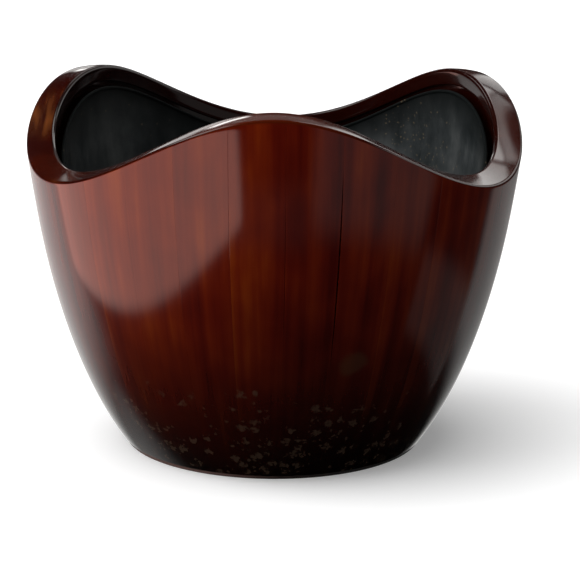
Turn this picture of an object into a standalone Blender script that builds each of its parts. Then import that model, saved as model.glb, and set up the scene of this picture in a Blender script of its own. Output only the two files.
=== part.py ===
"""Lacquered stave planter bowl with a lift-out metal liner.

Tapered staves stand edge to edge in a ring on a low foot, and a round base board sits in
the groove cut across their inner faces. The rim rises and falls in three waves. Inside it
a deeper lip overhangs the liner, which stands on the base board and lifts straight out.

Frame: metres, +Z up, origin on the floor at the centre of the foot, one crest towards -Y.
"""
import math

import bmesh
import bpy

MM = 0.001

# Fits
GAP = 0.3 * MM                  # between neighbouring pieces
LINER_CLEARANCE = 4.0 * MM      # from the lip's inner face to the liner's sheet

# Outer wall: a Bezier curve of (radius, height) from the floor up to the rim
WALL_CURVE = (
    (138.5 * MM, 0.0 * MM),
    (215.0 * MM, 103.0 * MM),
    (232.0 * MM, 292.5 * MM),
    (225.0 * MM, 330.8 * MM),
)
CURVE_ENDS = (-0.2, 1.2)        # the curve is used a little past both of its ends
LIP_THICKNESS = 26.0 * MM       # wall at the rim
WALL_THICKNESS = 22.0 * MM      # wall below the lip

# Rim: heights of the outer edge, as waves around the bowl
RIM_MEAN = 296.0 * MM
RIM_WAVE = 34.5 * MM            # three crests
RIM_SHARPEN = 1.6 * MM          # crests narrower than troughs
RIM_OVAL = 2.2 * MM             # front and back stand higher than the sides
RIM_SKEW = math.radians(2.3)    # the back left crest stands a little nearer the back
RIM_TILT = math.radians(13.5)   # the top face climbs inwards
RIM_TILT_SWING = math.radians(5.5)
RIM_FLARE = 1.5 * MM            # the outer edge flares over the last stretch of wall
FLARE_DEPTH = 60.0 * MM
LIP_DEPTH = 17.0 * MM
OUTER_ARRIS = 3.5 * MM
INNER_ARRIS = 4.0 * MM
ARRIS_STEPS = 3

# Staves
STAVES = 30
STAVE_STEPS = 2
FRONT = math.radians(-90.0)     # azimuth of the front crest
FIRST_SEAM = math.radians(2.4)  # from the front crest to the nearest seam
OUTER_STEPS = 6
INNER_STEPS = 6
FLARE_STEPS = 3

# Foot and base board
FOOT_HEIGHT = 3.0 * MM
FOOT_SETBACK = 2.5 * MM
FOOT_WIDTH = 24.0 * MM
STAVE_BOTTOM = FOOT_HEIGHT + GAP
BOTTOM_ARRIS = 1.5 * MM
BOARD_LOW = 12.0 * MM
BOARD_THICKNESS = 12.0 * MM
BOARD_HIGH = BOARD_LOW + BOARD_THICKNESS
CROZE_DEPTH = 4.0 * MM

# Liner
SHEET = 1.5 * MM
EDGE_DROP = 4.0 * MM            # from the underside of the lip to the liner's edge
HEM_RADIUS = 1.75 * MM
HEM_STEPS = 5
FLANGE_WIDTH = 14.0 * MM
LINER_BOTTOM = BOARD_HIGH + GAP
LINER_STEPS = 6

# Colours: linear RGB, metallic, roughness
FINISHES = {
    "stave_lacquer": ((0.105, 0.018, 0.006), 0.0, 0.12),
    "board_wood": ((0.23, 0.12, 0.055), 0.0, 0.6),
    "foot_black": ((0.012, 0.010, 0.009), 0.0, 0.4),
    "liner_metal": ((0.055, 0.062, 0.066), 0.7, 0.5),
}


def make_finish(name):
    colour, metallic, roughness = FINISHES[name]
    finish = bpy.data.materials.new(name)
    finish.use_nodes = True
    shader = finish.node_tree.nodes["Principled BSDF"]
    shader.inputs["Base Color"].default_value = (*colour, 1.0)
    shader.inputs["Metallic"].default_value = metallic
    shader.inputs["Roughness"].default_value = roughness
    finish.diffuse_color = (*colour, 1.0)
    return finish


def spaced(first, last, steps):
    return [first + (last - first) * k / steps for k in range(steps + 1)]


# Wall profile

def wall_point(t):
    """Point (radius, height) of the outer wall."""
    weights = ((1 - t) ** 3, 3 * t * (1 - t) ** 2, 3 * t * t * (1 - t), t ** 3)
    return tuple(sum(w * p[k] for w, p in zip(weights, WALL_CURVE)) for k in (0, 1))


def inset_point(t, inset):
    """Point of the wall's section, the given distance in from the outer face."""
    step = 1e-4
    before, after = wall_point(t - step), wall_point(t + step)
    run, rise = after[0] - before[0], after[1] - before[1]
    length = math.hypot(run, rise)
    radius, height = wall_point(t)
    return radius - inset * rise / length, height + inset * run / length


def radius_at(height, inset=0.0):
    """Radius of the wall at a height, found by halving the stretch that holds it."""
    low, high = CURVE_ENDS
    for _ in range(40):
        middle = (low + high) / 2
        if inset_point(middle, inset)[1] < height:
            low = middle
        else:
            high = middle
    return inset_point(low, inset)[0]


def outer_radius(height, rim_height):
    """Outer face of the vessel, with the flare under the rim."""
    rise = max(0.0, 1.0 - (rim_height - height) / FLARE_DEPTH)
    return radius_at(height) + RIM_FLARE * rise ** 2


def rim_corners(azimuth):
    """Outer and inner corner of the rim's top face, as (radius, height)."""
    turn = azimuth - FRONT
    turn += RIM_SKEW * (1 - math.cos(turn) - math.sqrt(3) * math.sin(turn)) / 3
    wave = math.cos(3 * turn)
    height = RIM_MEAN + RIM_WAVE * wave
    height += RIM_SHARPEN * math.cos(6 * turn) + RIM_OVAL * math.cos(2 * turn)
    tilt = RIM_TILT - RIM_TILT_SWING * wave
    radius = radius_at(height)
    inner_radius = radius - LIP_THICKNESS * math.cos(tilt)
    inner_height = height + LIP_THICKNESS * math.sin(tilt)
    return (radius + RIM_FLARE, height), (inner_radius, inner_height)


def lip_underside(azimuth):
    return rim_corners(azimuth)[1][1] - LIP_DEPTH


def rounded(before, corner, after, radius, steps):
    """The points of an arc that rounds a corner of a section."""
    def unit(point):
        run, rise = point[0] - corner[0], point[1] - corner[1]
        length = math.hypot(run, rise)
        return run / length, rise / length

    one, two = unit(before), unit(after)
    half = math.acos(one[0] * two[0] + one[1] * two[1]) / 2
    middle = (one[0] + two[0], one[1] + two[1])
    scale = radius / math.sin(half) / math.hypot(*middle)
    centre = (corner[0] + middle[0] * scale, corner[1] + middle[1] * scale)
    reach = radius / math.tan(half)
    start = (corner[0] + one[0] * reach - centre[0], corner[1] + one[1] * reach - centre[1])
    sweep = math.pi - 2 * half
    if one[0] * two[1] - one[1] * two[0] > 0:
        sweep = -sweep
    points = []
    for k in range(steps + 1):
        angle = sweep * k / steps
        cosine, sine = math.cos(angle), math.sin(angle)
        points.append((centre[0] + start[0] * cosine - start[1] * sine,
                       centre[1] + start[0] * sine + start[1] * cosine))
    return points


# Meshes

def loft(name, rings, finish, closed=False):
    """One solid through rings of points: a closed loop of rings, or capped at both ends."""
    mesh = bpy.data.meshes.new(name)
    body = bmesh.new()
    rows = [[body.verts.new(point) for point in ring] for ring in rings]
    count = len(rows[0])
    pairs = list(zip(rows, rows[1:]))
    if closed:
        pairs.append((rows[-1], rows[0]))
    else:
        body.faces.new(rows[0])
        body.faces.new(rows[-1])
    for this, following in pairs:
        for k in range(count):
            after = (k + 1) % count
            body.faces.new((this[k], this[after], following[after], following[k]))
    bmesh.ops.recalc_face_normals(body, faces=body.faces)
    body.to_mesh(mesh)
    body.free()
    mesh.shade_smooth()
    mesh.set_sharp_from_angle(angle=math.radians(32.0))
    mesh.materials.append(finish)
    piece = bpy.data.objects.new(name, mesh)
    bpy.context.scene.collection.objects.link(piece)
    return piece


def turned(section, azimuth, shift=0.0):
    """A section (radius, height) placed at an azimuth, moved sideways by shift."""
    cosine, sine = math.cos(azimuth), math.sin(azimuth)
    return [(r * cosine - shift * sine, r * sine + shift * cosine, z) for r, z in section]


def all_azimuths():
    start = FRONT + FIRST_SEAM
    return [start + k * math.tau / (STAVES * STAVE_STEPS) for k in range(STAVES * STAVE_STEPS)]


def disc(name, radius, low, high, finish):
    rings = [[(radius * math.cos(a), radius * math.sin(a), z) for a in all_azimuths()]
             for z in (low, high)]
    return loft(name, rings, finish)


# Vessel

def croze_radius():
    """Bottom of the groove that holds the base board."""
    return radius_at(BOARD_HIGH + GAP, WALL_THICKNESS) + CROZE_DEPTH


def stave_section(azimuth):
    outer_corner, inner_corner = rim_corners(azimuth)
    lip = lip_underside(azimuth)
    rim_height = outer_corner[1]
    heights = spaced(STAVE_BOTTOM, rim_height - FLARE_DEPTH, OUTER_STEPS)
    heights += spaced(rim_height - FLARE_DEPTH, rim_height, FLARE_STEPS)[1:]
    outer = [(outer_radius(z, rim_height), z) for z in heights]
    groove_low, groove_high = BOARD_LOW - GAP, BOARD_HIGH + GAP
    inner = [(radius_at(z, WALL_THICKNESS), z) for z in spaced(lip, groove_high, INNER_STEPS)]
    foot = (radius_at(STAVE_BOTTOM, WALL_THICKNESS), STAVE_BOTTOM)
    lip_corner = (radius_at(lip, LIP_THICKNESS), lip)
    section = rounded(foot, outer[0], outer[1], BOTTOM_ARRIS, ARRIS_STEPS - 1)
    section += outer[1:-1]
    section += rounded(outer[-2], outer_corner, inner_corner, OUTER_ARRIS, ARRIS_STEPS)
    section += rounded(outer_corner, inner_corner, lip_corner, INNER_ARRIS, ARRIS_STEPS)
    section.append(lip_corner)
    section += inner
    section.append((croze_radius(), groove_high))
    section.append((croze_radius(), groove_low))
    section.append((radius_at(groove_low, WALL_THICKNESS), groove_low))
    section.append(foot)
    return section


def make_stave(number, finish):
    pitch = math.tau / STAVES
    start = FRONT + FIRST_SEAM + (number - 1) * pitch
    azimuths = spaced(start, start + pitch, STAVE_STEPS)
    rings = []
    for azimuth in azimuths:
        shift = 0.0
        if azimuth == azimuths[0]:
            shift = GAP / 2
        if azimuth == azimuths[-1]:
            shift = -GAP / 2
        rings.append(turned(stave_section(azimuth), azimuth, shift))
    return loft(f"stave_{number:02d}", rings, finish)


def make_base_board(finish):
    return disc("base_board", croze_radius() - GAP, BOARD_LOW, BOARD_HIGH, finish)


def make_foot_ring(finish):
    outer = radius_at(STAVE_BOTTOM) - FOOT_SETBACK
    inner = outer - FOOT_WIDTH
    section = [(outer, 0.0), (outer, FOOT_HEIGHT), (inner, FOOT_HEIGHT), (inner, 0.0)]
    return loft("foot_ring", [turned(section, a) for a in all_azimuths()], finish, closed=True)


# Liner

def liner_radius(height):
    """Outer face of the liner's sheet."""
    return radius_at(height, LIP_THICKNESS) - LINER_CLEARANCE


def liner_section(azimuth):
    edge = lip_underside(azimuth) - EDGE_DROP - HEM_RADIUS
    hem_centre = (liner_radius(edge) - SHEET / 2, edge)
    neck = edge - HEM_RADIUS
    heights = spaced(LINER_BOTTOM, neck, LINER_STEPS)
    outer = [(liner_radius(z), z) for z in heights]
    inner = [(liner_radius(z) - SHEET, z) for z in reversed(heights[1:])]
    hem = []
    for angle in spaced(math.radians(-40.0), math.radians(220.0), HEM_STEPS):
        hem.append((hem_centre[0] + HEM_RADIUS * math.cos(angle),
                    hem_centre[1] + HEM_RADIUS * math.sin(angle)))
    flange_top = LINER_BOTTOM + SHEET
    flange_inner = outer[0][0] - FLANGE_WIDTH
    flange = [(liner_radius(flange_top) - SHEET, flange_top),
              (flange_inner, flange_top), (flange_inner, LINER_BOTTOM)]
    return outer + hem + inner + flange


def make_liner_wall(finish):
    rings = [turned(liner_section(a), a) for a in all_azimuths()]
    return loft("liner_wall", rings, finish, closed=True)


def make_liner_floor(finish):
    low = LINER_BOTTOM + SHEET + GAP
    return disc("liner_floor", liner_radius(low) - SHEET - GAP, low, low + SHEET, finish)


def main():
    for leftover in list(bpy.data.objects):
        bpy.data.objects.remove(leftover)
    finishes = {name: make_finish(name) for name in FINISHES}
    for number in range(1, STAVES + 1):
        make_stave(number, finishes["stave_lacquer"])
    make_base_board(finishes["board_wood"])
    make_foot_ring(finishes["foot_black"])
    make_liner_wall(finishes["liner_metal"])
    make_liner_floor(finishes["liner_metal"])


main()
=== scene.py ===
"""Looks of the lacquered stave planter bowl: fine meshes, materials, lights and camera.

Everything is in metres in the CAD's own frame: +Z up, the foot on the floor at the origin,
one crest of the rim towards -Y, where the camera stands. The shape functions repeat the
CAD's, with finer steps. Colours are linear.
"""
import collections
import functools
import math
import random

import bpy
import numpy as np
from mathutils import Matrix, Vector


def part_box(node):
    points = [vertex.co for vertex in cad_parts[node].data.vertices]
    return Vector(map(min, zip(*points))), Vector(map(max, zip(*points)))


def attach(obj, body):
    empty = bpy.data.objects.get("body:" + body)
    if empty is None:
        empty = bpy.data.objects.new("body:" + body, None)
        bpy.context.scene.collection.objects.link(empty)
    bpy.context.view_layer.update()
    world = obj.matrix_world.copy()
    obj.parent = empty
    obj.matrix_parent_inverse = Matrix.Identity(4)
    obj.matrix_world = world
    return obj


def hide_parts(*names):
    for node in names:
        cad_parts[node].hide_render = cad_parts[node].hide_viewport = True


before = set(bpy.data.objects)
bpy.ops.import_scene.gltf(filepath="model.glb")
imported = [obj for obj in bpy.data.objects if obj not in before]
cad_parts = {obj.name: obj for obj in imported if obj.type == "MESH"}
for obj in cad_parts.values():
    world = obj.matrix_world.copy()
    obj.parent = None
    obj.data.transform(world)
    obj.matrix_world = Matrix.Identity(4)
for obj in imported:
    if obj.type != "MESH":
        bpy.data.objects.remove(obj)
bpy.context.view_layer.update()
MM = 0.001

# Wall and rim, as in the CAD
WALL_CURVE = np.array(((138.5, 0.0), (215.0, 103.0), (232.0, 292.5), (225.0, 330.8))) * MM
CURVE_ENDS = (-0.2, 1.2)        # the curve is used a little past both of its ends
CURVE_SAMPLES = 600
LIP_THICKNESS = 26.0 * MM
WALL_THICKNESS = 22.0 * MM
RIM_MEAN = 296.0 * MM
RIM_WAVE = 34.5 * MM
RIM_SHARPEN = 1.6 * MM
RIM_OVAL = 2.2 * MM
RIM_SKEW = math.radians(2.3)
RIM_TILT = math.radians(13.5)
RIM_TILT_SWING = math.radians(5.5)
RIM_FLARE = 1.5 * MM
FLARE_DEPTH = 60.0 * MM
LIP_DEPTH = 17.0 * MM
OUTER_ARRIS = 3.5 * MM
INNER_ARRIS = 4.0 * MM
LIP_ARRIS = 1.5 * MM
CROWN = 0.45 * MM               # the rim's top face is a little rounded
SKIN = 0.35 * MM                # the fine surface lies inside the CAD's box by this much

# Steps of the wall's section
WALL_STEPS = 34
FLARE_STEPS = 14
RIM_STEPS = 6
RIM_ARRIS_STEPS = 8
ARRIS_STEPS = 4                 # of the small arrises and of the lip's inner face
INSIDE_STEPS = 16

# Staves
STAVES = 30
FRONT = math.radians(-90.0)
FIRST_SEAM = math.radians(2.4)
PITCH = math.tau / STAVES
FOOT_HEIGHT = 3.0 * MM
FOOT_SETBACK = 2.5 * MM
FOOT_WIDTH = 24.0 * MM
FOOT_ARRIS = 0.6 * MM
STAVE_BOTTOM = FOOT_HEIGHT + 0.3 * MM
BOTTOM_ARRIS = 1.5 * MM
CROZE_LOW = 11.7 * MM
CROZE_HIGH = 24.3 * MM
CROZE_DEPTH = 4.0 * MM
STAVE_COLUMNS = 12
STAVE_RADIUS = WALL_CURVE[2][0]
SEAM_EDGE = 0.4 * MM            # width of the eased edge beside a seam
SEAM_DEPTH = 0.02 * MM
SEAM_GAP = 0.05 * MM
SEAM_FADE = 8                   # how fast a gap's pull on a stave fades away from the seam
OPEN_SEAMS = {                  # (gap, from height, to height); 0 opens on the first stave only
    0: (0.6 * MM, 150.0 * MM, 265.0 * MM),
    1: (1.4 * MM, 120.0 * MM, 290.0 * MM),
}
OPENING_BLUNTNESS = 0.7
GRAIN_STEP = 0.37               # moves the grain on from one stave to the next
LUCK_SEED = 7
SMOOTH_ANGLE = math.radians(40.0)
RIM_FACE_FROM = 0.1             # a face counts as the rim's from this upward slope on,
RIM_FACE_SPAN = 0.25            # and fully after this much more

# Liner
SHEET = 1.5 * MM
LINER_CLEARANCE = 4.0 * MM
EDGE_DROP = 4.0 * MM
HEM_RADIUS = 1.75 * MM
HEM_START = math.radians(-40.0)
HEM_END = math.radians(220.0)
HEM_STEPS = 14
FLANGE_WIDTH = 14.0 * MM
FLANGE_BEND = 2.0 * MM
BEND_STEPS = 5
LINER_BOTTOM = 24.3 * MM
LINER_COLUMNS = 240
LINER_STEPS = 40
PAINTED_LIP_SHADE_DEPTH = 45.0 * MM       # painted shade of the lip darkens the liner this far below its edge
PLATE_HOLE = 0.4 * MM           # the floor plate's mesh ends at this radius
PLATE_STEPS = 120
PLATE_RINGS = 3
RING_DEPTH = 0.3 * MM
RING_SHARPNESS = 6


# Profile of the wall

@functools.lru_cache(maxsize=None)
def wall_table(inset):
    """Heights and radii along the wall up to its highest point, inset from its outer face."""
    way = np.linspace(*CURVE_ENDS, CURVE_SAMPLES)[:, None]
    rest = 1 - way
    weights = np.hstack((rest ** 3, 3 * way * rest ** 2, 3 * way * way * rest, way ** 3))
    points = weights @ WALL_CURVE
    along = np.gradient(points, axis=0)
    along /= np.linalg.norm(along, axis=1)[:, None]
    radii = points[:, 0] - inset * along[:, 1]
    heights = points[:, 1] + inset * along[:, 0]
    rising = np.argmax(heights) + 1
    return heights[:rising], radii[:rising]


def radius_at(height, inset=0.0):
    return float(np.interp(height, *wall_table(inset)))


def spaced(first, last, steps):
    return [first + (last - first) * step / steps for step in range(steps + 1)]


def rim_corners(azimuth):
    """Outer and inner corner of the rim's top face, as (radius, height)."""
    turn = azimuth - FRONT
    turn += RIM_SKEW * (1 - math.cos(turn) - math.sqrt(3) * math.sin(turn)) / 3
    wave = math.cos(3 * turn)
    height = RIM_MEAN + RIM_WAVE * wave
    height += RIM_SHARPEN * math.cos(6 * turn) + RIM_OVAL * math.cos(2 * turn)
    tilt = RIM_TILT - RIM_TILT_SWING * wave
    radius = radius_at(height)
    inner_radius = radius - LIP_THICKNESS * math.cos(tilt)
    inner_height = height + LIP_THICKNESS * math.sin(tilt)
    return (radius + RIM_FLARE, height), (inner_radius, inner_height)


def lip_underside(azimuth):
    return rim_corners(azimuth)[1][1] - LIP_DEPTH


def rounded(before, corner, after, radius, steps):
    """The points of an arc that rounds a corner of a section."""
    corner = Vector(corner)
    one = (Vector(before) - corner).normalized()
    two = (Vector(after) - corner).normalized()
    half = one.angle(two) / 2
    centre = corner + (one + two).normalized() * (radius / math.sin(half))
    start = corner + one * (radius / math.tan(half)) - centre
    sweep = math.pi - 2 * half
    if one.x * two.y - one.y * two.x > 0:
        sweep = -sweep
    points = []
    for angle in spaced(0.0, sweep, steps):
        cosine, sine = math.cos(angle), math.sin(angle)
        points.append((centre.x + start.x * cosine - start.y * sine,
                       centre.y + start.x * sine + start.y * cosine))
    return points


def line(start, end, steps, bulge=0.0):
    """Points between two ends, without them, bowed to the right of the way by bulge."""
    start, end = Vector(start), Vector(end)
    way = (end - start).normalized()
    side = Vector((-way.y, way.x)) * -bulge
    points = []
    for share in spaced(0.0, 1.0, steps)[1:-1]:
        points.append(tuple(start.lerp(end, share) + side * math.sin(math.pi * share)))
    return points


def outer_face(rim_height):
    """The wall's outer face from the foot to the rim, which flares a little."""
    heights = spaced(STAVE_BOTTOM, rim_height - FLARE_DEPTH, WALL_STEPS)
    heights += spaced(rim_height - FLARE_DEPTH, rim_height, FLARE_STEPS)[1:]
    points = []
    for height in heights:
        rise = max(0.0, 1.0 - (rim_height - height) / FLARE_DEPTH)
        points.append((radius_at(height) + RIM_FLARE * rise ** 2, height))
    return points


def stave_section(azimuth):
    """The closed outline (radius, height) of the vessel's wall at an azimuth."""
    outer_corner, inner_corner = rim_corners(azimuth)
    lip = lip_underside(azimuth)
    rim_height = outer_corner[1]
    outer = outer_face(rim_height)
    foot = (radius_at(STAVE_BOTTOM, WALL_THICKNESS), STAVE_BOTTOM)
    lip_corner = (radius_at(lip, LIP_THICKNESS), lip)
    lip_root = (radius_at(lip, WALL_THICKNESS), lip)
    croze = radius_at(CROZE_HIGH, WALL_THICKNESS) + CROZE_DEPTH

    section = rounded(foot, outer[0], outer[1], BOTTOM_ARRIS, ARRIS_STEPS)
    section += [point for point in outer[1:-1] if point[1] < rim_height - OUTER_ARRIS]
    section += rounded(outer[-2], outer_corner, inner_corner, OUTER_ARRIS, RIM_ARRIS_STEPS)
    inner_arris = rounded(outer_corner, inner_corner, lip_corner, INNER_ARRIS, RIM_ARRIS_STEPS)
    section += line(section[-1], inner_arris[0], RIM_STEPS, CROWN)
    section += inner_arris
    lip_arris = rounded(inner_corner, lip_corner, lip_root, LIP_ARRIS, ARRIS_STEPS)
    section += line(section[-1], lip_arris[0], ARRIS_STEPS)
    section += lip_arris
    section += [(radius_at(z, WALL_THICKNESS), z) for z in spaced(lip, CROZE_HIGH, INSIDE_STEPS)]
    section += [(croze, CROZE_HIGH), (croze, CROZE_LOW)]
    section.append((radius_at(CROZE_LOW, WALL_THICKNESS), CROZE_LOW))
    section.append(foot)
    return np.array(section)


def directions(section):
    """The unit direction of a closed section at each of its points."""
    along = np.roll(section, -1, axis=0) - np.roll(section, 1, axis=0)
    return along / (np.linalg.norm(along, axis=1)[:, None] + 1e-12)


def facing_up(section):
    """1 where a closed anticlockwise section faces up, 0 where it faces sideways or down."""
    up = -directions(section)[:, 0]
    return np.clip((up - RIM_FACE_FROM) / RIM_FACE_SPAN, 0.0, 1.0)


def inner_share(section):
    """1 on the vessel's inner side, from the rim's inner edge down, 0 elsewhere."""
    return (np.arange(len(section)) > np.argmax(section[:, 1])).astype(float)


def drawn_in(section, depth):
    """A closed anticlockwise section with each point moved inwards by depth, one or one a point."""
    along = directions(section)
    return section + np.stack((-along[:, 1], along[:, 0]) * np.asarray(depth), axis=1)


# Meshes

def add_object(name, vertices, faces):
    mesh = bpy.data.meshes.new(name)
    mesh.from_pydata(vertices, [], faces)
    made = bpy.data.objects.new(name, mesh)
    bpy.context.scene.collection.objects.link(made)
    return made


def add_grain_map(mesh, rings, across):
    """A UV map in metres: across, then along each ring."""
    columns, rows = rings.shape[:2]
    steps = np.linalg.norm(np.diff(rings, axis=1), axis=2)
    along = np.concatenate((np.zeros((columns, 1)), np.cumsum(steps, axis=1)), axis=1)
    uv = np.stack((np.repeat(across, rows), along.ravel()), axis=1)
    corners = np.empty(len(mesh.loops), dtype=np.int32)
    mesh.loops.foreach_get("vertex_index", corners)
    layer = mesh.uv_layers.new(name="grain")
    layer.data.foreach_set("uv", uv[corners].astype(np.float32).ravel())


def make_tube(name, rings, material, closed, across):
    """A solid through rings of points: a closed round of them, or a run with two end faces."""
    columns, rows = rings.shape[:2]
    faces = []
    for column in range(columns if closed else columns - 1):
        this, following = column * rows, (column + 1) % columns * rows
        for row in range(rows):
            after = (row + 1) % rows
            faces.append((this + row, following + row, following + after, this + after))
    if not closed:
        faces.append(tuple(range(rows)))
        last = (columns - 1) * rows
        faces.append(tuple(last + row for row in reversed(range(rows))))
    piece = add_object(name, rings.reshape(-1, 3).tolist(), faces)
    mesh = piece.data
    add_grain_map(mesh, rings, across)
    mesh.shade_smooth()
    mesh.set_sharp_from_angle(angle=SMOOTH_ANGLE)
    mesh.materials.append(material)
    mesh.validate()
    return piece


def placed(section, azimuth, shift=0.0):
    """A section at an azimuth, moved sideways by shift, one value or one a point."""
    cosine, sine = math.cos(azimuth), math.sin(azimuth)
    radii, heights = section[:, 0], section[:, 1]
    shift = np.broadcast_to(shift, radii.shape)
    return np.stack((radii * cosine - shift * sine, radii * sine + shift * cosine, heights), 1)


def add_piece(piece, body, slot, *nodes):
    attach(piece, body)
    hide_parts(*nodes)
    return piece


def seam_opening(seam, heights):
    """Half the width of a seam at each height; seams count from the front."""
    opening = np.full(heights.shape, SEAM_GAP / 2)
    if seam in OPEN_SEAMS:
        gap, low, high = OPEN_SEAMS[seam]
        share = np.clip((heights - low) / (high - low), 0.0, 1.0)
        opening += gap / 2 * np.sin(math.pi * share) ** OPENING_BLUNTNESS
    return opening


def seam_shift(number, share, heights):
    """How far a stave's points move sideways, away from the nearer of its two seams."""
    if share < 0.5:
        return seam_opening(number - 1, heights) * (1.0 - 2 * share) ** SEAM_FADE
    return -seam_opening(number, heights) * (2 * share - 1.0) ** SEAM_FADE


def stave_columns():
    """Places across a stave, as (share of its width, drawn-in depth)."""
    edge = SEAM_EDGE / (PITCH * STAVE_RADIUS)
    near = [(0.0, SEAM_DEPTH), (edge * 0.4, SEAM_DEPTH * 0.3), (edge, 0.0), (edge * 2, 0.0)]
    middle = [(share, 0.0) for share in spaced(edge * 2, 1.0 - edge * 2, STAVE_COLUMNS)[1:-1]]
    far = [(1.0 - share, depth) for share, depth in reversed(near)]
    return near + middle + far


def set_attribute(piece, name, values):
    """A number for each vertex of a piece, which its material reads by name."""
    attribute = piece.data.attributes.new(name, "FLOAT", "POINT")
    attribute.data.foreach_set("value", values.astype(np.float32))


def make_stave(number, material, luck):
    start = FRONT + FIRST_SEAM + (number - 1) * PITCH
    offset = number * GRAIN_STEP + luck.random()
    rings = []
    across = []
    tops = []
    inners = []
    for share, depth in stave_columns():
        azimuth = start + share * PITCH
        section = stave_section(azimuth)
        top = facing_up(section)
        inner = inner_share(section)
        section = drawn_in(section, SKIN + depth * (1.0 - np.maximum(top, inner)))
        rings.append(placed(section, azimuth, seam_shift(number, share, section[:, 1])))
        tops.append(top)
        inners.append(inner)
        across.append(offset + share * PITCH * STAVE_RADIUS)
    name = f"lacquered_stave_{number:02d}"
    piece = make_tube(name, np.array(rings), material, False, np.array(across))
    tone = np.full(len(piece.data.vertices), luck.uniform(-1.0, 1.0))
    set_attribute(piece, "tone", tone)
    set_attribute(piece, "rim", np.concatenate(tops))
    set_attribute(piece, "inner", np.concatenate(inners))
    return add_piece(piece, "vessel", "stave_lacquer", f"stave_{number:02d}")


def liner_radius(height):
    return radius_at(height, LIP_THICKNESS) - LINER_CLEARANCE


def liner_section(azimuth):
    """The outer face up, round the hem, down the inner face and along the flange."""
    edge = lip_underside(azimuth) - EDGE_DROP - HEM_RADIUS
    hem_centre = liner_radius(edge) - SHEET / 2
    heights = spaced(LINER_BOTTOM, edge - HEM_RADIUS, LINER_STEPS)
    section = [(liner_radius(z), z) for z in heights]
    for angle in spaced(HEM_START, HEM_END, HEM_STEPS):
        section.append((hem_centre + HEM_RADIUS * math.cos(angle),
                        edge + HEM_RADIUS * math.sin(angle)))
    section += [(liner_radius(z) - SHEET, z) for z in reversed(heights[2:])]
    flange_top = LINER_BOTTOM + SHEET
    flange_inner = liner_radius(LINER_BOTTOM) - FLANGE_WIDTH
    corner = (liner_radius(flange_top) - SHEET, flange_top)
    section += rounded(section[-1], corner, (flange_inner, flange_top), FLANGE_BEND, BEND_STEPS)
    section += [(flange_inner, flange_top), (flange_inner, LINER_BOTTOM)]
    return np.array(section)


def full_circle(columns):
    return [FRONT + column * math.tau / columns for column in range(columns)]


def make_liner_wall(material):
    azimuths = full_circle(LINER_COLUMNS)
    rings = np.array([placed(liner_section(a), a) for a in azimuths])
    across = np.array(azimuths) * WALL_CURVE[0][0]
    piece = make_tube("slate_liner_wall", rings, material, True, across)
    # Painted shade under the lip: 1 at the liner's edge, fading to 0 this far below it.
    below_edge = np.max(rings[:, :, 2], axis=1)[:, None] - rings[:, :, 2]
    set_attribute(piece, "painted_lip_shade", np.clip(1.0 - below_edge / PAINTED_LIP_SHADE_DEPTH, 0.0, 1.0).ravel())
    return add_piece(piece, "liner", "liner_metal", "liner_wall")


def make_liner_floor(material):
    """A round plate with shallow pressed rings."""
    low, high = (corner.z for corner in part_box("liner_floor"))
    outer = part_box("liner_floor")[1].x - SKIN
    top = []
    for radius in spaced(outer, PLATE_HOLE, PLATE_STEPS):
        press = max(0.0, math.cos(radius / outer * PLATE_RINGS * math.tau)) ** RING_SHARPNESS
        top.append((radius, high - RING_DEPTH * press))
    section = np.array([(PLATE_HOLE, low), (outer, low), *top])
    azimuths = full_circle(LINER_COLUMNS // 2)
    rings = np.array([placed(section, a) for a in azimuths])
    piece = make_tube("slate_liner_floor", rings, material, True, np.array(azimuths) * outer)
    return add_piece(piece, "liner", "liner_metal", "liner_floor")


def make_foot(material):
    outer = radius_at(STAVE_BOTTOM) - FOOT_SETBACK
    inner = outer - FOOT_WIDTH
    corners = [(outer, 0.0), (outer, FOOT_HEIGHT), (inner, FOOT_HEIGHT), (inner, 0.0)]
    section = []
    for index, corner in enumerate(corners):
        after = corners[(index + 1) % len(corners)]
        section += rounded(corners[index - 1], corner, after, FOOT_ARRIS, ARRIS_STEPS)
    azimuths = full_circle(LINER_COLUMNS)
    rings = np.array([placed(np.array(section), a) for a in azimuths])
    piece = make_tube("ebonised_foot_ring", rings, material, True, np.array(azimuths) * outer)
    return add_piece(piece, "vessel", "foot_black", "foot_ring")


# Colours, linear; the tones are stops of a ramp, as (share, colour)

WOOD_TONES = (
    (0.34, (0.052, 0.0016, 0.0003)),
    (0.46, (0.088, 0.0045, 0.0004)),
    (0.56, (0.125, 0.0100, 0.0006)),
    (0.68, (0.185, 0.0260, 0.0012)),
)
# the rim's end grain, darkened further with painted shade against the top light
RIM_TONES = (
    (0.40, (0.015, 0.0008, 0.0001)),
    (0.60, (0.028, 0.0024, 0.0003)),
    (0.80, (0.055, 0.0100, 0.0012)),
)
SLATE_TONES = (
    (0.36, (0.013, 0.016, 0.017)),
    (0.50, (0.032, 0.036, 0.037)),
    (0.66, (0.075, 0.079, 0.078)),
)
EBONY_TONES = (
    (0.45, (0.006, 0.005, 0.004)),
    (0.75, (0.03, 0.024, 0.018)),
)
BOARD_TONES = (
    (0.2, (0.13, 0.060, 0.024)),
    (0.55, (0.25, 0.135, 0.060)),
    (0.85, (0.36, 0.215, 0.110)),
)
# painted shade: the darker lacquer of the vessel's inner face
PAINTED_INNER_SHADE_DARK = (0.006, 0.0006, 0.0002, 1.0)
PAINTED_INNER_SHADE_PALE = (0.014, 0.0012, 0.0004, 1.0)
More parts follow.
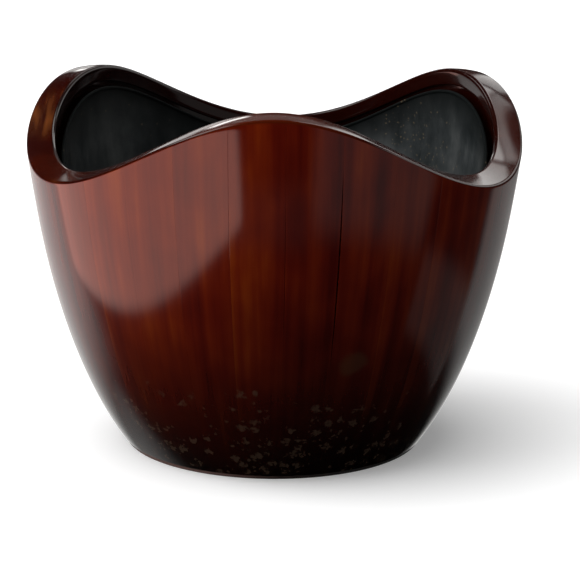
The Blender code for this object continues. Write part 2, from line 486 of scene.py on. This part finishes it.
# painted shade and the lacquer's dark ombre, black towards the foot
OMBRE_AND_SHADE_BLACK = (0.0016, 0.0010, 0.0008, 1.0)
FLECK_BROWN = (0.075, 0.048, 0.030, 1.0)
BLOTCH_BROWN = (0.050, 0.022, 0.010, 1.0)
CREST_RED = (0.048, 0.0050, 0.0005, 1.0)
FIGURE_GOLD = (0.190, 0.0560, 0.0120, 1.0)
# painted reflection: the pale grey on the liner's back right
PAINTED_REFLECTION_GREY = (0.100, 0.106, 0.108, 1.0)
# painted shade under the lip's overhang, on the liner's upper part and rolled edge
PAINTED_LIP_SHADE_BLACK = (0.004, 0.005, 0.005, 1.0)
SPECK_GOLD = (0.20, 0.15, 0.09, 1.0)

# Where the marks lie
FRONT_CREST = (0.0, -0.216, 0.334)
LEFT_CREST = (-0.215, 0.020, 0.305)
PAINTED_REFLECTION_PLACE = (0.110, 0.190, 0.215)
SPECK_PLACE = (0.150, 0.150, 0.240)
BLOTCH_AZIMUTH = FRONT + math.radians(20.5)
BLOTCH_HEIGHT = 119.0 * MM
OMBRE_AND_SHADE_SPAN = (-45.0 * MM, 215.0 * MM)    # all black at the first height, none at the second,
OMBRE_AND_SHADE_WANDER = -70.0 * MM                # before a noise times this is added to the height
FLECK_SPAN = (5.0 * MM, 115.0 * MM)     # most flecks at the lower height, none at the upper
FLECK_CORE = 0.12                       # distances from a cell's middle, in cells: whole inside
FLECK_EDGE = 0.50                       # this one, and gone outside this one


# Materials

class Paint:
    """A material's nodes, with short calls that add a node and return its output."""

    def __init__(self, name, **settings):
        self.material = bpy.data.materials.new(name)
        self.material.use_nodes = True
        self.tree = self.material.node_tree
        self.shader = self.tree.nodes["Principled BSDF"]
        for socket, value in settings.items():
            self.shader.inputs[socket.replace("_", " ")].default_value = value

    def node(self, kind, inputs, output=0, **settings):
        node = self.tree.nodes.new(kind)
        for name, value in settings.items():
            setattr(node, name, value)
        for key, value in inputs.items():
            if isinstance(value, bpy.types.NodeSocket):
                self.tree.links.new(value, node.inputs[key])
            else:
                node.inputs[key].default_value = value
        return node.outputs[output]

    def vector(self, operation, first, second, output=0):
        inputs = {0: first, 1: second}
        return self.node("ShaderNodeVectorMath", inputs, output, operation=operation)

    def maths(self, operation, first, second=0.0):
        return self.node("ShaderNodeMath", {0: first, 1: second}, operation=operation)

    def weighted(self, *parts):
        """The sum of (value, weight) pairs."""
        products = [self.maths("MULTIPLY", value, weight) for value, weight in parts]
        return functools.reduce(functools.partial(self.maths, "ADD"), products)

    def place(self, scale=(1.0, 1.0, 1.0)):
        """The piece's own coordinates, which are the row frame's, scaled."""
        return self.vector("MULTIPLY", self.node("ShaderNodeTexCoord", {}, "Object"), scale)

    def grain(self, scale):
        """The UV map in metres, scaled."""
        return self.vector("MULTIPLY", self.node("ShaderNodeUVMap", {}, uv_map="grain"), scale)

    def warped(self, scale, reach):
        """The piece's coordinates with a noise of 0 to reach added to each."""
        noise = {"Vector": self.place(), "Scale": scale}
        wander = self.node("ShaderNodeTexNoise", noise, "Color")
        return self.vector("ADD", self.place(), self.vector("MULTIPLY", wander, (reach,) * 3))

    def height(self):
        source = self.node("ShaderNodeTexCoord", {}, "Object")
        return self.node("ShaderNodeSeparateXYZ", {0: source}, "Z")

    def attribute(self, name):
        return self.node("ShaderNodeAttribute", {}, "Fac", attribute_name=name)

    def noise(self, vector, detail=2.0, roughness=0.5, scale=1.0):
        inputs = {"Vector": vector, "Scale": scale, "Detail": detail, "Roughness": roughness}
        return self.node("ShaderNodeTexNoise", inputs, "Fac")

    def span(self, value, low, high, to_low=0.0, to_high=1.0):
        """Maps low..high smoothly to to_low..to_high."""
        inputs = {"Value": value, "From Min": low, "From Max": high,
                  "To Min": to_low, "To Max": to_high}
        return self.node("ShaderNodeMapRange", inputs, interpolation_type="SMOOTHSTEP")

    def mix(self, share, first, second):
        inputs = {0: share, 6: first, 7: second}
        return self.node("ShaderNodeMix", inputs, 2, data_type="RGBA")

    def ramp(self, share, stops):
        node = self.tree.nodes.new("ShaderNodeValToRGB")
        self.tree.links.new(share, node.inputs[0])
        elements = node.color_ramp.elements
        while len(elements) < len(stops):
            elements.new(0.5)
        for element, (position, colour) in zip(elements, stops):
            element.position = position
            element.color = (*colour, 1.0)
        return node.outputs[0]

    def set(self, socket, value):
        self.tree.links.new(value, self.shader.inputs[socket])

    def bump(self, height, distance):
        inputs = {"Height": height, "Distance": distance, "Strength": 1.0}
        self.set("Normal", self.node("ShaderNodeBump", inputs))


def make_lacquer():
    """Red-brown lacquer over straight vertical grain, black towards the foot from a dark ombre with
    painted shade in it; painted shade also darkens the rim's top face and the inner face.
    """
    paint = Paint("lacquered_wood", Roughness=0.45, Specular_IOR_Level=0.05,
                  Coat_Weight=1.0, Coat_Roughness=0.09, Coat_IOR=1.5)
    height = paint.height()
    fine = paint.noise(paint.grain((260.0, 9.0, 1.0)), 3.0, 0.6)
    colour = paint.mix(paint.attribute("rim"), wood_colour(paint, fine), rim_colour(paint))
    # Painted shade on the vessel's inner face, from the rim's inner edge down.
    inner_shade_colour = paint.mix(fine, PAINTED_INNER_SHADE_DARK, PAINTED_INNER_SHADE_PALE)
    colour = paint.mix(paint.attribute("inner"), colour, inner_shade_colour)
    # Black towards the foot: the lacquer's dark ombre with painted shade of the down-facing lower
    # wall.
    colour = paint.mix(ombre_and_shade_mask(paint, height), colour, OMBRE_AND_SHADE_BLACK)
    colour = paint.mix(fleck_mask(paint, height), colour, FLECK_BROWN)
    colour = paint.mix(blotch_mask(paint), colour, BLOTCH_BROWN)
    paint.set("Base Color", colour)
    ripple = paint.noise(paint.grain((34.0, 7.0, 1.0)), 1.0)
    paint.bump(ripple, 0.08 * MM)
    return paint.material


def wood_colour(paint, fine):
    """The wall's wood: broad and fine grain, a cloudy mottle and each stave's own tone."""
    broad = paint.noise(paint.grain((60.0, 3.0, 1.0)))
    mottle = paint.noise(paint.place((1.0, 1.0, 0.5)), scale=32.0)
    tone = paint.attribute("tone")
    share = paint.weighted((tone, 0.045), (broad, 0.52), (fine, 0.14), (mottle, 0.34))
    return paint.ramp(share, WOOD_TONES)


def rim_colour(paint):
    """The rim's top face: dark red end grain darkened further with painted shade against the top
    light, redder on the front crest, golden on the left one.
    """
    cloud = paint.noise(paint.place(), 3.0, scale=20.0)
    front = spot(paint, FRONT_CREST, (30.0 * MM, 95.0 * MM), 30.0, 20.0 * MM)
    colour = paint.mix(front, paint.ramp(cloud, RIM_TONES), CREST_RED)
    streaks = paint.noise(paint.place((90.0, 9.0, 9.0)))
    figure = spot(paint, LEFT_CREST, (5.0 * MM, 50.0 * MM), 30.0, 24.0 * MM)
    figure = paint.maths("MULTIPLY", figure, paint.span(streaks, 0.40, 0.75))
    return paint.mix(figure, colour, FIGURE_GOLD)


def ombre_and_shade_mask(paint, height):
    """Black strongest at the foot and fading out unevenly upwards: the lacquer's dark ombre, with
    painted shade of the down-facing lower wall in it.
    """
    drift = paint.noise(paint.place((1.0, 1.0, 0.6)), 3.0, scale=16.0)
    level = paint.maths("ADD", height, paint.maths("MULTIPLY", drift, OMBRE_AND_SHADE_WANDER))
    return paint.span(level, *OMBRE_AND_SHADE_SPAN, 1.0, 0.0)


def spot(paint, centre, reach, scale, warp):
    """1 nearer to a place than the first distance of reach, 0 beyond the second, uneven between."""
    aim = tuple(value + warp / 2 for value in centre)
    distance = paint.vector("DISTANCE", paint.warped(scale, warp), aim, "Value")
    return paint.span(distance, *reach, 1.0, 0.0)


def fleck_mask(paint, height):
    """Small bare flecks near the foot, thinning out upwards: large ones and fine ones."""
    patch = paint.span(paint.noise(paint.place(), 1.0, scale=24.0), 0.36, 0.60, 0.25, 1.0)
    chance = paint.maths("MULTIPLY", paint.span(height, *FLECK_SPAN, 1.0, 0.0), patch)
    large = flecks(paint, 95.0, 240.0, 12.0 * MM, chance)
    small = flecks(paint, 210.0, 500.0, 4.0 * MM, paint.maths("MULTIPLY", chance, 0.22))
    large = paint.maths("MULTIPLY", large, 0.45)
    small = paint.maths("MULTIPLY", small, 0.40)
    return paint.maths("MAXIMUM", large, small)


def flecks(paint, density, ragged, warp, chance):
    """Ragged spots in a share of the cells of a Voronoi pattern."""
    cells = {"Vector": paint.warped(ragged, warp), "Scale": density}
    distance = paint.node("ShaderNodeTexVoronoi", cells, "Distance")
    colour = paint.node("ShaderNodeTexVoronoi", cells, "Color")
    pick = paint.node("ShaderNodeSeparateColor", {0: colour}, "Red")
    size = paint.span(distance, FLECK_CORE, FLECK_EDGE, 1.0, 0.0)
    return paint.maths("MULTIPLY", size, paint.maths("LESS_THAN", pick, chance))


def blotch_mask(paint):
    """One pale brown blotch on the front, right of the middle."""
    radius = radius_at(BLOTCH_HEIGHT)
    centre = (radius * math.cos(BLOTCH_AZIMUTH), radius * math.sin(BLOTCH_AZIMUTH), BLOTCH_HEIGHT)
    blotch = spot(paint, centre, (7.0 * MM, 15.0 * MM), 45.0, 16.0 * MM)
    return paint.maths("MULTIPLY", blotch, 0.5)


def make_slate():
    """The liner: dark sheet metal with a slate-grey patina and a few golden specks, painted shade
    towards its edge under the lip, and a painted pale reflection on its back right.
    """
    paint = Paint("slate_metal", Metallic=0.25, Specular_IOR_Level=0.25)
    cloud = paint.noise(paint.place(), 4.0, 0.6, scale=14.0)
    grime = paint.noise(paint.place((1.0, 1.0, 0.35)), 5.0, 0.7, scale=70.0)
    colour = paint.ramp(paint.weighted((cloud, 0.65), (grime, 0.35)), SLATE_TONES)
    # A painted pale reflection on the liner's back right.
    painted_reflection = spot(paint, PAINTED_REFLECTION_PLACE, (20.0 * MM, 75.0 * MM), 25.0, 50.0 * MM)
    colour = paint.mix(painted_reflection, colour, PAINTED_REFLECTION_GREY)
    # Painted shade: the liner darkens towards its edge under the lip's overhang, which also dims
    # the rolled edge's highlight.
    painted_lip_shade = paint.attribute("painted_lip_shade")
    colour = paint.mix(painted_lip_shade, colour, PAINTED_LIP_SHADE_BLACK)
    colour = paint.mix(speck_mask(paint), colour, SPECK_GOLD)
    paint.set("Base Color", colour)
    satin = paint.span(grime, 0.3, 0.7, 0.42, 0.62)
    paint.set("Roughness", paint.maths("MAXIMUM", satin, paint.maths("MULTIPLY", painted_lip_shade, 0.85)))
    paint.bump(grime, 0.15 * MM)
    return paint.material


def speck_mask(paint):
    """Golden specks of mineral, most of them in one loose cluster."""
    cluster = spot(paint, SPECK_PLACE, (10.0 * MM, 85.0 * MM), 30.0, 60.0 * MM)
    chance = paint.maths("ADD", paint.maths("MULTIPLY", cluster, 0.33), 0.01)
    return paint.maths("MULTIPLY", flecks(paint, 340.0, 500.0, 3.0 * MM, chance), 0.35)


def make_ebony():
    """The foot ring: black stained wood with small scuffs."""
    paint = Paint("ebonised_wood")
    scuff = paint.noise(paint.grain((150.0, 900.0, 1.0)), 4.0, 0.7)
    paint.set("Base Color", paint.ramp(scuff, EBONY_TONES))
    paint.set("Roughness", paint.span(scuff, 0.3, 0.7, 0.35, 0.6))
    paint.bump(scuff, 0.08 * MM)
    return paint.material


def make_board_wood():
    """The base board: plain planed softwood with long flowing rings."""
    paint = Paint("planed_board")
    drift = paint.noise(paint.place((3.0, 12.0, 3.0)), 3.0)
    wave = {"Vector": paint.place(), "Scale": 40.0, "Distortion": 3.0,
            "Detail": 3.0, "Detail Scale": 1.2}
    rings = paint.node("ShaderNodeTexWave", wave, "Fac", bands_direction="Y")
    fibre = paint.noise(paint.place((30.0, 900.0, 30.0)), 3.0)
    share = paint.weighted((rings, 0.5), (fibre, 0.3), (drift, 0.2))
    paint.set("Base Color", paint.ramp(share, BOARD_TONES))
    paint.set("Roughness", paint.span(fibre, 0.3, 0.7, 0.5, 0.7))
    paint.bump(fibre, 0.1 * MM)
    return paint.material


# Stage

CAMERA_PLACE = Vector((0.0, -1.8605, 0.5910))
CAMERA_AIM = Vector((0.0153, 0.0, 0.1388))
CAMERA_ROLL = 0.0090
CAMERA_LENS = 127.1
SENSOR_WIDTH = 36.0
CLIP_END = 60.0
STAGE_CENTRE = Vector((0.0, 0.0, 0.18))
WHITE = (1.0, 1.0, 1.0, 1.0)
BLACK = (0.0, 0.0, 0.0, 1.0)
FLOOR_HALF = 14.0
FLOOR_DROP = 0.1 * MM
FLOOR_GLOW = 0.21
FLOOR_WHITE = (0.85, 0.85, 0.85, 1.0)
FLOOR_BOUNCE = (0.04, 0.04, 0.04, 1.0)  # what the bowl's wall gets back from it
WORLD_GLOW = 0.22
WORLD_SEEN = 1.1                        # what the camera sees of the world

# Reflections. Azimuth 0 is behind the camera, and 90 to its right; all angles are in degrees.
DOME_RADIUS = 4.0
DOME_COLUMNS = 64
DOME_ROWS = 32
DOME_POLE = 89.0                        # the dome's mesh ends at this elevation
PATCH_WHITE = (1.0, 0.99, 0.97, 1.0)
PATCH_WARM = (1.0, 0.56, 0.49, 1.0)     # the big softbox on the left
# Middle azimuth, half width, lowest and highest elevation, rise of the lower edge at its
# ends, softness of the edges, and how bright the patch is
Patch = collections.namedtuple("Patch", "azimuth half_width low high sag edge radiance")
BIG_SOFTBOX = Patch(-67.0, 52.0, -33.5, 0.0, 10.5, 1.5, 2.40)
PATCHES = (
    BIG_SOFTBOX,                                            # on the left
    Patch(-95.0, 38.0, 40.0, 66.0, 0.0, 2.0, 2.20),         # its upper row
    Patch(-154.0, 44.0, -31.0, -3.0, 0.0, 10.0, 0.86),      # board behind it
    Patch(-155.0, 36.0, -52.0, -32.0, 0.0, 9.0, 0.28),      # pale floor under that board
    Patch(-170.0, 3.8, 18.5, 23.0, 0.0, 1.0, 4.50),         # lamp behind the bowl
    Patch(-166.5, 6.0, 6.0, 17.0, 0.0, 2.0, 1.00),          # board under that lamp
    Patch(180.0, 14.0, 24.0, 40.0, 0.0, 4.0, 0.22),         # backdrop over it
    Patch(46.0, 29.0, -24.0, 12.0, 0.0, 4.0, 0.20),         # pale wall behind the camera
    Patch(-2.0, 18.0, -27.0, -17.0, 0.0, 3.0, 0.06),        # the wall's dim left end
    Patch(107.0, 34.0, 13.0, 36.0, 0.0, 3.0, 1.00),         # strip on the right
    Patch(159.5, 6.5, 14.0, 38.0, 0.0, 1.5, 1.40),          # softbox behind on the right
    Patch(160.0, 6.0, 41.0, 60.0, 0.0, 2.0, 2.60),          # its upper row
    Patch(149.5, 3.5, 41.0, 56.0, 0.0, 2.0, 1.20),          # side of that row
    Patch(157.0, 36.0, -29.0, -10.0, 0.0, 4.0, 0.32),       # pale backdrop low behind the bowl
    Patch(102.0, 24.0, -36.0, -24.5, 0.0, 2.0, 0.11),       # pale floor on the right
)

# Suns, from directions given as on the dome
Sun = collections.namedtuple("Sun", "name azimuth elevation spread strength")
SUNS = (
    Sun("top_light", -90.0, 80.0, 60.0, 2.5),
    Sun("left_light", -84.0, 24.0, 60.0, 2.6),
    Sun("front_light", -45.0, 20.0, 50.0, 0.7),
)


def make_camera():
    data = bpy.data.cameras.new("camera")
    data.lens = CAMERA_LENS
    data.sensor_width = SENSOR_WIDTH
    data.clip_end = CLIP_END
    camera = bpy.data.objects.new("camera", data)
    turn = (CAMERA_AIM - CAMERA_PLACE).to_track_quat("-Z", "Y").to_matrix().to_4x4()
    roll = Matrix.Rotation(CAMERA_ROLL, 4, "Z")
    camera.matrix_world = Matrix.Translation(CAMERA_PLACE) @ turn @ roll
    bpy.context.scene.collection.objects.link(camera)
    bpy.context.scene.camera = camera


def make_floor():
    """A pale floor that runs out of every view. The lacquer mirrors the dome, not the floor."""
    ends = (-FLOOR_HALF, FLOOR_HALF)
    corners = [(x, y, -FLOOR_DROP) for x in ends for y in ends]
    floor = add_object("floor", corners, [(0, 2, 3, 1)])
    paint = Paint("floor_paper", Roughness=0.9, Specular_IOR_Level=0.0,
                  Emission_Color=WHITE, Emission_Strength=FLOOR_GLOW)
    seen_by_diffuse = paint.node("ShaderNodeLightPath", {}, "Is Diffuse Ray")
    paint.set("Base Color", paint.mix(seen_by_diffuse, FLOOR_WHITE, FLOOR_BOUNCE))
    floor.data.materials.append(paint.material)
    floor.visible_glossy = False


def soft_patch(paint, azimuth, elevation, patch):
    """1 inside a soft-edged patch of the dome, 0 outside it."""
    away = paint.maths("SUBTRACT", azimuth, patch.azimuth)
    away = paint.node("ShaderNodeMath", {0: away, 1: 180.0, 2: -180.0}, operation="WRAP")
    away = paint.maths("ABSOLUTE", away)
    edge = patch.edge
    beside = paint.span(away, patch.half_width - edge, patch.half_width + edge, 1.0, 0.0)
    lifted = paint.maths("POWER", paint.maths("DIVIDE", away, patch.half_width), 2.0)
    lifted = paint.maths("SUBTRACT", elevation, paint.maths("MULTIPLY", lifted, patch.sag))
    above = paint.span(lifted, patch.low - edge, patch.low + edge)
    below = paint.span(elevation, patch.high - edge, patch.high + edge, 1.0, 0.0)
    return paint.maths("MULTIPLY", beside, paint.maths("MULTIPLY", above, below))


def dome_mesh():
    """Vertices and faces of the dome, which is open by a degree at each pole."""
    vertices = []
    faces = []
    for column in range(DOME_COLUMNS):
        this = column * (DOME_ROWS + 1)
        following = (column + 1) % DOME_COLUMNS * (DOME_ROWS + 1)
        for row in range(DOME_ROWS):
            after = row + 1
            faces.append((this + row, following + row, following + after, this + after))
        turn = math.tau * column / DOME_COLUMNS
        for rise in map(math.radians, spaced(-DOME_POLE, DOME_POLE, DOME_ROWS)):
            level = math.cos(rise)
            way = Vector((math.cos(turn) * level, math.sin(turn) * level, math.sin(rise)))
            vertices.append(way * DOME_RADIUS)
    return vertices, faces


def make_dome_glow():
    """Light in soft-edged patches; where two overlap, the brighter one counts."""
    paint = Paint("dome_glow", Base_Color=BLACK, Specular_IOR_Level=0.0)
    source = paint.node("ShaderNodeTexCoord", {}, "Object")
    way = paint.node("ShaderNodeVectorMath", {0: source}, operation="NORMALIZE")
    x, y, z = paint.node("ShaderNodeSeparateXYZ", {0: way}).node.outputs
    azimuth = paint.maths("ARCTAN2", x, paint.maths("MULTIPLY", y, -1.0))
    azimuth = paint.maths("DEGREES", azimuth)
    elevation = paint.maths("DEGREES", paint.maths("ARCSINE", z))
    total = 0.0
    for patch in PATCHES:
        inside = soft_patch(paint, azimuth, elevation, patch)
        total = paint.maths("MAXIMUM", paint.maths("MULTIPLY", inside, patch.radiance), total)
    warm = soft_patch(paint, azimuth, elevation, BIG_SOFTBOX)
    paint.set("Emission Color", paint.mix(warm, PATCH_WHITE, PATCH_WARM))
    paint.set("Emission Strength", total)
    paint.material.cycles.emission_sampling = "NONE"
    return paint.material


def make_dome():
    """What the lacquer mirrors: softboxes and boards on a dome that only mirrors see."""
    dome = add_object("reflection_dome", *dome_mesh())
    dome.data.materials.append(make_dome_glow())
    dome.location = STAGE_CENTRE
    dome.visible_camera = False
    dome.visible_diffuse = False
    dome.visible_shadow = False
    dome.visible_transmission = False


def make_sun(sun):
    data = bpy.data.lights.new(sun.name, "SUN")
    data.angle = math.radians(sun.spread)
    data.energy = sun.strength
    light = bpy.data.objects.new(sun.name, data)
    turn, rise = math.radians(sun.azimuth), math.radians(sun.elevation)
    level = math.cos(rise)
    way = Vector((math.sin(turn) * level, -math.cos(turn) * level, math.sin(rise)))
    light.rotation_euler = (-way).to_track_quat("-Z", "Y").to_euler()
    bpy.context.scene.collection.objects.link(light)
    light.visible_glossy = False


def make_world():
    """White behind the object, a weaker white light on it, and nothing in its mirrors."""
    world = bpy.data.worlds.new("studio")
    bpy.context.scene.world = world
    world.use_nodes = True
    tree = world.node_tree
    background = tree.nodes["Background"]
    background.inputs["Color"].default_value = WHITE
    path = tree.nodes.new("ShaderNodeLightPath")
    strength = tree.nodes.new("ShaderNodeMapRange")
    strength.inputs["To Min"].default_value = WORLD_GLOW
    strength.inputs["To Max"].default_value = WORLD_SEEN
    tree.links.new(path.outputs["Is Camera Ray"], strength.inputs["Value"])
    tree.links.new(strength.outputs[0], background.inputs["Strength"])
    world.cycles_visibility.glossy = False


def make_pieces():
    lacquer = make_lacquer()
    slate = make_slate()
    luck = random.Random(LUCK_SEED)
    for number in range(1, STAVES + 1):
        make_stave(number, lacquer, luck)
    make_liner_wall(slate)
    make_liner_floor(slate)
    make_foot(make_ebony())
    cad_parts["base_board"].material_slots[0].material = make_board_wood()


make_pieces()
make_floor()
make_dome()
for sun in SUNS:
    make_sun(sun)
make_world()
make_camera()
bpy.context.scene.view_settings.view_transform = "Standard"
